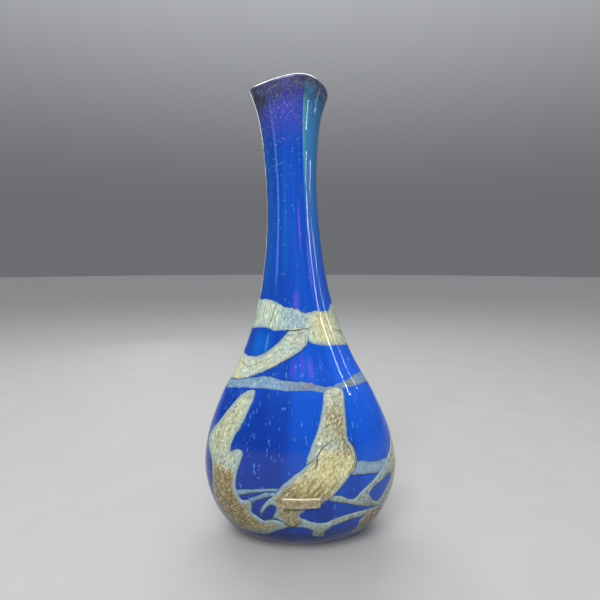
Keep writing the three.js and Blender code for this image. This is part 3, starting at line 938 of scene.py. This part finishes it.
# Hairline cracks and threads on the shards: width, then (angle, height) points.
CRACKS_IN_SHARDS = [
    (0.9, [(-29, 254), (-31, 246), (-34, 238), (-38, 228)]),
    (1.2, [(-14, 225), (-6, 226), (2, 226.5), (10, 227.5), (17, 228)]),
    (1.0, [(56, 226), (62, 224), (72, 222), (84, 221)]),
    (1.2, [(21, 123), (14, 116), (10, 108), (9.5, 100), (8, 96)]),
    (0.9, [(26, 124), (29, 117), (31, 110), (31, 103)]),
    (0.9, [(3, 100), (6, 103), (10, 107)]),
    (0.8, [(31, 121), (34, 112), (32, 98), (27, 88)]),
    (0.7, [(18, 92), (20, 84), (17, 76), (12, 70)]),
    (0.7, [(24, 134), (26, 140), (24, 148)]),
    (1.0, [(74, 44), (66, 39), (56, 40), (46, 41)]),
    (0.7, [(28, 36), (31, 41), (34, 43)]),
    (0.6, [(-62, 120), (-57, 112), (-58, 102)]),
    (0.6, [(-96, 190), (-70, 190), (-52, 188), (-34, 196)]),
    (0.8, [(150, 216), (158, 222), (166, 224)]),
    (0.8, [(136, 120), (130, 110), (134, 96)]),
]
FOOT_THREAD = (1.0, [(16, 20), (24, 19), (32, 18), (41, 18)])
CRACK_DEPTH, THREAD_DEPTH = 1.5, 1.8

PATCH_SAMPLES, BAND_SAMPLES, RIBBON_SAMPLES = 8, 12, 10   # points from one to the next
EDGE_STEP = 1.1           # spacing of points along a shard's edge
INNER_STEP = 2.2          # spacing of points inside it
EDGE_ROUND = 1.3          # width over which a shard's edge rounds down
WOBBLE = 0.55             # how far a molten edge strays
WELL_INSIDE = 5.0         # an edge distance that shows no rim colour
FAR_AWAY = 30.0           # the largest edge distance that is told apart


def sideways(ahead):
    """Unit vectors square to flat directions."""
    side = np.stack([ahead[:, 1], -ahead[:, 0]], axis=1)
    return side / np.maximum(np.linalg.norm(side, axis=1, keepdims=True), 1e-6)


def wobbled(loop, seed):
    """Strays a closed loop of flat points a little, as molten glass does."""
    side = sideways(np.roll(loop, -1, axis=0) - np.roll(loop, 1, axis=0))
    stray = [
        WOBBLE * noise.noise(Vector((x / 5, y / 5, seed)))
        + 0.5 * WOBBLE * noise.noise(Vector((x / 1.9, y / 1.9, seed + 7)))
        for x, y in loop
    ]
    return loop + side * np.array(stray)[:, None]


def respaced(loop, step):
    """A closed loop with evenly spaced points."""
    closed = np.vstack([loop, loop[:1]])
    run = np.concatenate([[0], np.cumsum(np.linalg.norm(np.diff(closed, axis=0), axis=1))])
    count = max(8, round(run[-1] / step))
    places = np.arange(count) * run[-1] / count
    return np.stack([np.interp(places, run, closed[:, axis]) for axis in (0, 1)], axis=1)


def edge_distance(points, loops, hidden=()):
    """Distance from flat points to the nearest edge of any loop, past edges under a neighbour."""
    best = np.full(len(points), FAR_AWAY)
    for loop in loops:
        covered = np.zeros(len(loop), bool)
        for other in hidden:
            covered |= inside(loop, other)
        for a, b, buried in zip(loop, np.roll(loop, -1, axis=0), covered):
            if buried:
                continue
            run = b - a
            share = np.clip(((points - a) @ run) / max(run @ run, 1e-9), 0, 1)
            best = np.minimum(best, np.linalg.norm(points - a - share[:, None] * run, axis=1))
    return best


def inside(points, loop):
    """Whether flat points lie inside a closed loop."""
    hit = np.zeros(len(points), bool)
    for (ax, ay), (bx, by) in zip(loop, np.roll(loop, -1, axis=0)):
        crosses = (ay > points[:, 1]) != (by > points[:, 1])
        if ay != by:
            hit ^= crosses & (points[:, 0] < (bx - ax) * (points[:, 1] - ay) / (by - ay) + ax)
    return hit


def inside_patch(points, loops):
    """Whether flat points lie inside the first loop and outside the others."""
    keep = inside(points, loops[0])
    for loop in loops[1:]:
        keep &= ~inside(points, loop)
    return keep


def flat_patch(loops, step):
    """Triangulates the area inside the first loop and outside the others."""
    low, high = loops[0].min(axis=0), loops[0].max(axis=0)
    columns = np.arange(low[0], high[0], step)
    rows = np.arange(low[1], high[1], step * 0.87)
    inner = np.array([
        (x + (row % 2) * step / 2, y) for row, y in enumerate(rows) for x in columns
    ])
    inner = inner[inside_patch(inner, loops)]
    inner = inner[edge_distance(inner, loops) > step * 0.45]
    rim = np.vstack(loops)
    edges, first = [], 0
    for loop in loops:
        edges += [(first + i, first + (i + 1) % len(loop)) for i in range(len(loop))]
        first += len(loop)
    places = [Vector(p) for p in np.vstack([rim, inner])]
    places, _, faces, *_ = delaunay_2d_cdt(places, edges, [], 0, 1e-5)
    places = np.array([tuple(p) for p in places])
    middles = np.array([places[list(face)].mean(axis=0) for face in faces])
    faces = [tuple(face) for face, kept in zip(faces, inside_patch(middles, loops)) if kept]
    return places, faces


def wall_patch(
    name, outline, windows, top, bottom, material, round_width, molten=True, joined=(),
):
    """A thin closed sheet on the wall between two depths, its edge rounded down to its back.

    A molten outline is smoothed and strays a little; otherwise its corners stay sharp. An edge
    that runs inside one of the joined outlines is fused there and stays full height.
    """
    middle = sum(height for _, height in outline) / len(outline)
    degree = per_degree(middle)
    loops = []
    for index, loop in enumerate([outline, *windows]):
        flat = np.array([(angle * degree, height) for angle, height in loop])
        if molten:
            flat = respaced(centripetal(flat, PATCH_SAMPLES, closed=True), EDGE_STEP)
            flat = wobbled(flat, len(name) + index * 3.7)
        else:
            flat = respaced(flat, EDGE_STEP)
        loops.append(flat)
    places, faces = flat_patch(loops, INNER_STEP)
    used = sorted({corner for face in faces for corner in face})
    renumber = {old: new for new, old in enumerate(used)}
    places = places[used]
    faces = [tuple(renumber[corner] for corner in face) for face in faces]
    on_rim = edge_distance(places, loops) < 1e-3
    hidden = [np.array([(angle * degree, height) for angle, height in loop]) for loop in joined]
    edge = edge_distance(places, loops, hidden)
    share = np.clip(edge / round_width, 0, 1)
    rise = np.sqrt(1 - (1 - share) ** 2)
    angle, height = places[:, 0] / degree, places[:, 1]
    run = run_at(height)
    extra = foot_extra(run) if top > 0 else 0
    front = wall_point(angle, run, bottom + (top - bottom) * rise + extra)
    back = wall_point(angle, run, np.full(len(angle), bottom) + extra)
    back_index = np.where(on_rim, np.arange(len(places)), 0)
    inner = np.flatnonzero(~on_rim)
    back_index[inner] = len(places) + np.arange(len(inner))
    points = np.vstack([front, back[inner]])
    turned = [tuple(int(back_index[c]) for c in reversed(face)) for face in faces]
    ways = meridian(angle, height)
    return make_mesh(
        name, points, faces + turned, material,
        np.vstack([ways, ways[inner]]), np.concatenate([edge, edge[inner]]),
    )


def band(name, stations, material, seed):
    """A shard band right round the wall."""
    turns = 420           # points round the vase
    around = np.arange(turns) * 360 / turns - 180
    spread = [(a - 360, lo, hi) for a, lo, hi in stations] + list(stations)
    spread += [(a + 360, lo, hi) for a, lo, hi in stations]
    curve = centripetal(spread, BAND_SAMPLES)
    low = np.interp(around, curve[:, 0], curve[:, 1])
    high = np.interp(around, curve[:, 0], curve[:, 2])
    for index, angle in enumerate(np.radians(around)):
        spot = Vector((math.cos(angle) * 9, math.sin(angle) * 9, seed))
        low[index] += 1.6 * WOBBLE * noise.noise(spot)
        high[index] += 2.2 * WOBBLE * noise.noise(spot * 1.7 + Vector((0, 0, 5)))
    tall = high - low
    shares = [0, 0.02, 0.06, 0.12] + list(np.linspace(0.2, 0.8, 13)) + [0.88, 0.94, 0.98, 1]
    rings, ways, edges = [], [], []

    def add_ring(share, depth, edge):
        height = low + tall * share
        rings.append(wall_point(around, run_at(height), depth))
        ways.append(meridian(around, height))
        edges.append(edge)

    for share in shares:
        edge = np.minimum(share, 1 - share) * tall
        rise = np.sqrt(1 - (1 - np.clip(edge / EDGE_ROUND, 0, 1)) ** 2)
        add_ring(share, SHARD_BOTTOM + (SHARD_TOP - SHARD_BOTTOM) * rise, edge)
    for share in shares[-2:0:-1]:
        add_ring(share, np.full(turns, SHARD_BOTTOM), np.minimum(share, 1 - share) * tall)
    faces = ring_faces(len(rings), turns, closed=True)
    points, ways, edges = np.vstack(rings), np.vstack(ways), np.concatenate(edges)
    return make_mesh(name, points, faces, material, ways, edges)


def wall_ribbon(name, stations, width, top, material):
    """A thin ribbon with pointed ends that follows a path on the wall."""
    middle = sum(height for _, height in stations) / len(stations)
    degree = per_degree(middle)
    stations = [(angle * degree, height) for angle, height in stations]
    path = centripetal(stations, RIBBON_SAMPLES)
    path = path + np.array([
        (0.35 * noise.noise(Vector((x / 1.7, y / 1.7, 3))), 0.3 * noise.noise(Vector((x, y, 9))))
        for x, y in path
    ])
    side = sideways(np.gradient(path, axis=0))
    share = np.linspace(0, 1, len(path))
    half = width / 2 * np.sqrt(np.clip(np.sin(math.pi * (0.03 + 0.94 * share)), 0, 1))
    thick = 0.1
    rings, ways = [], []
    for across, lift in ((-1, 1), (0, 0), (1, 1), (0, 1.6)):
        flat = path + side * (half * across)[:, None]
        angle, height = flat[:, 0] / degree, flat[:, 1]
        run = run_at(height)
        rings.append(wall_point(angle, run, top + thick * lift + foot_extra(run)))
        ways.append(meridian(angle, height))
    points = np.stack(rings, axis=1).reshape(-1, 3)
    ways = np.stack(ways, axis=1).reshape(-1, 3)
    faces = ring_faces(len(path), 4, closed=False)
    faces.append((3, 2, 1, 0))
    last = (len(path) - 1) * 4
    faces.append((last, last + 1, last + 2, last + 3))
    return make_mesh(name, points, faces, material, ways, np.full(len(points), WELL_INSIDE))


# Each shard: name, outline, windows, depth, frit, slot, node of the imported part. Where shards
# meet, the one with the smaller depth lies on top.
SHARDS = [
    ("strap_shard", DIAGONAL_STRAP, [], 1.70, STRAP_FRIT, "cream_frit", "diagonal_strap"),
    ("left_shard", LEFT_LIMB, [], 1.74, LEFT_FRIT, "cream_frit", "left_limb"),
    ("centre_shard", CENTRE_LIMB, [CENTRE_WINDOW], 1.68, CENTRE_FRIT, "gold_frit", "centre_limb"),
    ("branch_shard", CROSS_BRANCH, [], 1.86, BLUE_GREY, "pale_blue_frit", "cross_branch"),
    ("right_shard", RIGHT_LIMB, [RIGHT_WINDOW], 1.78, RIGHT_FRIT, "cream_frit", "right_limb"),
    ("strand_shard", LOWER_STRAND, [], 1.84, STRAND_FRIT, "cream_frit", "lower_strand"),
    ("foot_shard", FOOT_PATCH, [], 1.80, FOOT_FRIT, "gold_frit", "foot_patch"),
    ("upper_thread", UPPER_TRAIL, [], 1.94, BLUE_GREY, "pale_blue_frit", "upper_trail"),
    ("lower_thread", LOWER_TRAIL, [], 1.90, BLUE_GREY, "pale_blue_frit", "lower_trail"),
    ("back_strap_shard", BACK_STRAP, [], 1.70, STRAP_FRIT, "cream_frit", "back_strap"),
    ("back_limb_shard", BACK_LIMB, [], 1.74, CENTRE_FRIT, "gold_frit", "back_limb"),
    ("back_left_shard", BACK_LEFT_LIMB, [], 1.74, LEFT_FRIT, "cream_frit", "back_left_limb"),
    ("back_web_shard", BACK_WEB, [BACK_WEB_WINDOW], 1.80, FOOT_FRIT, "gold_frit", "back_web"),
]


def build_shards():
    """The two bands, then every shard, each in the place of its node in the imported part."""
    shoulder = band("shoulder_trail", SHOULDER_BAND, SHOULDER_FRIT, 1.0)
    finish_piece(shoulder, "cream_frit", "shoulder_band")
    waist = band("waist_trail", WAIST_BAND, WAIST_FRIT, 2.0)
    finish_piece(waist, "cream_frit", "waist_band")
    band_loops = [
        [(a, low) for a, low, _ in stations] + [(a, high) for a, _, high in stations[::-1]]
        for stations in (SHOULDER_BAND, WAIST_BAND)
    ]
    for name, outline, windows, top, frit, slot, node in SHARDS:
        joined = [other[1] for other in SHARDS if other[1] is not outline] + band_loops
        shard = wall_patch(
            name, outline, windows, top, SHARD_BOTTOM, frit, EDGE_ROUND, joined=joined,
        )
        finish_piece(shard, slot, node)


def build_cracks():
    """Tapered dark ribbons on top of the shards, and one pale thread near the foot."""
    for index, (width, stations) in enumerate(CRACKS_IN_SHARDS):
        crack = wall_ribbon("shard_crack_%02d" % index, stations, width, CRACK_DEPTH, CRACKS)
        finish_piece(crack, "cream_frit")
    width, stations = FOOT_THREAD
    thread = wall_ribbon("foot_thread", stations, width, THREAD_DEPTH, BLUE_GREY)
    finish_piece(thread, "cream_frit")


def build_label():
    """A small foil label pressed onto the outside of the casing."""
    face, back, rounding = -0.2, -0.03, 0.3
    label = wall_patch(
        "foil_tag", LABEL_OUTLINE, [], face, back, FOIL, rounding, molten=False,
    )
    finish_piece(label, "foil_label", "foil_label")


# ---------------------------------------------------------------- seeds

def on_a_shard(angle, height):
    """Whether a spot on the wall lies over a band or a shard; the thin trails don't count."""
    margin = 2
    for stations in (SHOULDER_BAND, WAIST_BAND):
        angles, lows, highs = zip(*stations)
        low, high = np.interp(angle, angles, lows), np.interp(angle, angles, highs)
        if low - margin < height < high + margin:
            return True
    spots = np.array([(angle, height), (angle + 360, height)])
    return any(
        inside(spots, np.array(outline, float)).any()
        for _, outline, *_ in SHARDS if outline not in (UPPER_TRAIL, LOWER_TRAIL)
    )


def seed_field(name, seeds, material):
    """One mesh of small bubbles; each seed is (angle, height, depth, radius, stretch)."""
    rows, columns, flatness = 6, 10, 0.5
    points, faces = [], []
    for angle, height, depth, radius, stretch in seeds:
        first = len(points)
        for row in range(rows + 1):
            tilt = math.pi * row / rows
            for column in range(columns if 0 < row < rows else 1):
                turn = 2 * math.pi * column / columns
                across = radius * math.sin(tilt) * math.cos(turn)
                inward = flatness * radius * math.sin(tilt) * math.sin(turn)
                points.append((
                    angle + across / per_degree(height),
                    height - radius * stretch * math.cos(tilt),
                    depth + inward,
                ))
        rings = [first + 1 + row * columns for row in range(rows - 1)]
        last = first + 1 + (rows - 1) * columns
        for column in range(columns):
            beside = (column + 1) % columns
            faces.append((first, rings[0] + beside, rings[0] + column))
            for a, b in zip(rings, rings[1:]):
                faces.append((a + column, a + beside, b + beside, b + column))
            faces.append((last, rings[-1] + column, rings[-1] + beside))
    points = np.array(points)
    placed = wall_point(points[:, 0], run_at(points[:, 1]), points[:, 2])
    return make_mesh(name, placed, faces, material, meridian(points[:, 0], points[:, 1]))


FIELD_SEED_COUNT, FIELD_HEIGHTS = 520, (36, 196)
NECK_SEED_COUNT, NECK_SEED_TOP, NECK_SEED_REACH = 1500, 454, 220
SEED_DRAW = 11            # picks one layout of seeds


def build_seeds():
    """Gas seeds in the casing, drawn out along the meridians, and finer ones near the lip."""
    rng = np.random.default_rng(SEED_DRAW)
    field = []
    while len(field) < FIELD_SEED_COUNT:
        angle, height = rng.uniform(-180, 180), rng.uniform(*FIELD_HEIGHTS)
        radius = rng.uniform(0.35, 0.95)
        stretch = rng.uniform(1.3, 5.0) * min(1, 1.0 / (radius + 0.45))
        if not on_a_shard(angle, height):
            field.append((angle, height, rng.uniform(1.7, 2.0), radius, stretch))
    finish_piece(seed_field("field_seeds", field, FIELD_SEEDS), "clear_casing")
    neck = []
    while len(neck) < NECK_SEED_COUNT:
        angle = rng.uniform(-180, 180)
        height = NECK_SEED_TOP - NECK_SEED_REACH * rng.random() ** 4
        radius = rng.uniform(0.14, 0.36)
        if not on_a_shard(angle, height):
            neck.append((angle, height, rng.uniform(1.2, 2.0), radius, rng.uniform(1.0, 2.6)))
    finish_piece(seed_field("neck_seeds", neck, NECK_SEEDS), "clear_casing")


# ---------------------------------------------------------------- stage, lights, camera

# Lengths from here on are in metres.
CAMERA_PLACE = (-0.0005, -0.478, 0.295)
CAMERA_PITCH = 5
CAMERA_LENS, CAMERA_SENSOR = 27.06, 36
FLOOR_RADIUS, FLOOR_SIDES = 9, 90


def build_stage():
    """A round pale floor."""
    material, shader, w = new_material("pale_floor")
    tone = w.mix(w.noise(w.place(), 14.0, 3.0), (0.34, 0.34, 0.335), (0.38, 0.38, 0.375))
    w.give(shader, Base_Color=tone, Roughness=0.7)
    mesh = bpy.data.meshes.new("floor")
    turns = [2 * math.pi * side / FLOOR_SIDES for side in range(FLOOR_SIDES)]
    rim = [(FLOOR_RADIUS * math.cos(t), FLOOR_RADIUS * math.sin(t), 0) for t in turns]
    mesh.from_pydata(rim, [], [tuple(range(FLOOR_SIDES))])
    mesh.materials.append(material)
    floor = bpy.data.objects.new("floor", mesh)
    bpy.context.collection.objects.link(floor)


def add_lamp(name, axes, place, size, power, color=(1, 1, 1)):
    lamp = bpy.data.lights.new(name, "AREA")
    lamp.shape = "RECTANGLE"
    lamp.size, lamp.size_y = size
    lamp.energy = power
    lamp.color = color
    holder = bpy.data.objects.new(name, lamp)
    holder.matrix_world = Matrix.Translation(place) @ axes
    holder.visible_camera = False
    bpy.context.collection.objects.link(holder)


def softbox(name, place, target, size, power, color=(1, 1, 1)):
    """A wide lamp that points at the target."""
    aim = Vector(target) - Vector(place)
    axes = aim.to_track_quat("-Z", "Y").to_matrix().to_4x4()
    add_lamp(name, axes, Vector(place), size, power, color)


def upright_strip(name, x, y, bottom, top, width, target, power):
    """A thin upright lamp that faces the target."""
    along = Vector((0, 0, 1))
    back = Vector((x - target[0], y - target[1], 0)).normalized()
    axes = Matrix((along, back.cross(along), back)).transposed().to_4x4()
    add_lamp(name, axes, Vector((x, y, (bottom + top) / 2)), (top - bottom, width), power)


def build_lights():
    middle = (0, 0, 0.2)
    softbox("key_softbox", (-0.25, -1.15, 1.65), middle, (1.1, 0.8), 34, (1.0, 0.98, 0.96))
    softbox("back_softbox", (-0.2, 1.0, 1.7), (0, 0, 0.4), (1.8, 0.5), 19)
    for name, x, y, bottom, top, width, power in (
        ("shoulder_strip_rear", 1.0, 0.02, 0.42, 0.55, 0.03, 0.2),
        ("shoulder_strip_front", 0.93, -0.41, 0.43, 0.55, 0.04, 0.34),
        ("left_edge_strip", -0.55, 1.2, 0.2, 1.1, 0.05, 1.1),
    ):
        upright_strip(name, x, y, bottom, top, width, middle, power)


def build_world():
    """Dim grey all round, brightening overhead."""
    world = bpy.data.worlds.new("studio")
    world.use_nodes = True
    w = Wiring(world.node_tree)
    upward = w.parts(w.node("ShaderNodeTexCoord").outputs["Generated"])[2]
    color = w.mix(w.fade(upward, 0.1, 0.95), (0.15, 0.155, 0.165), (0.80, 0.82, 0.86))
    w.give(world.node_tree.nodes["Background"], Color=color, Strength=1.0)
    bpy.context.scene.world = world


def build_camera():
    camera = bpy.data.cameras.new("camera")
    camera.lens = CAMERA_LENS
    camera.sensor_width = CAMERA_SENSOR
    camera.clip_start = 0.01
    holder = bpy.data.objects.new("camera", camera)
    holder.location = CAMERA_PLACE
    holder.rotation_euler = (math.radians(90 - CAMERA_PITCH), 0, 0)
    bpy.context.collection.objects.link(holder)
    bpy.context.scene.camera = holder


build_camera()
build_layers()
build_lip()
build_shards()
build_cracks()
build_label()
build_seeds()
build_stage()
build_lights()
build_world()
bpy.context.scene.view_settings.view_transform = "Standard"
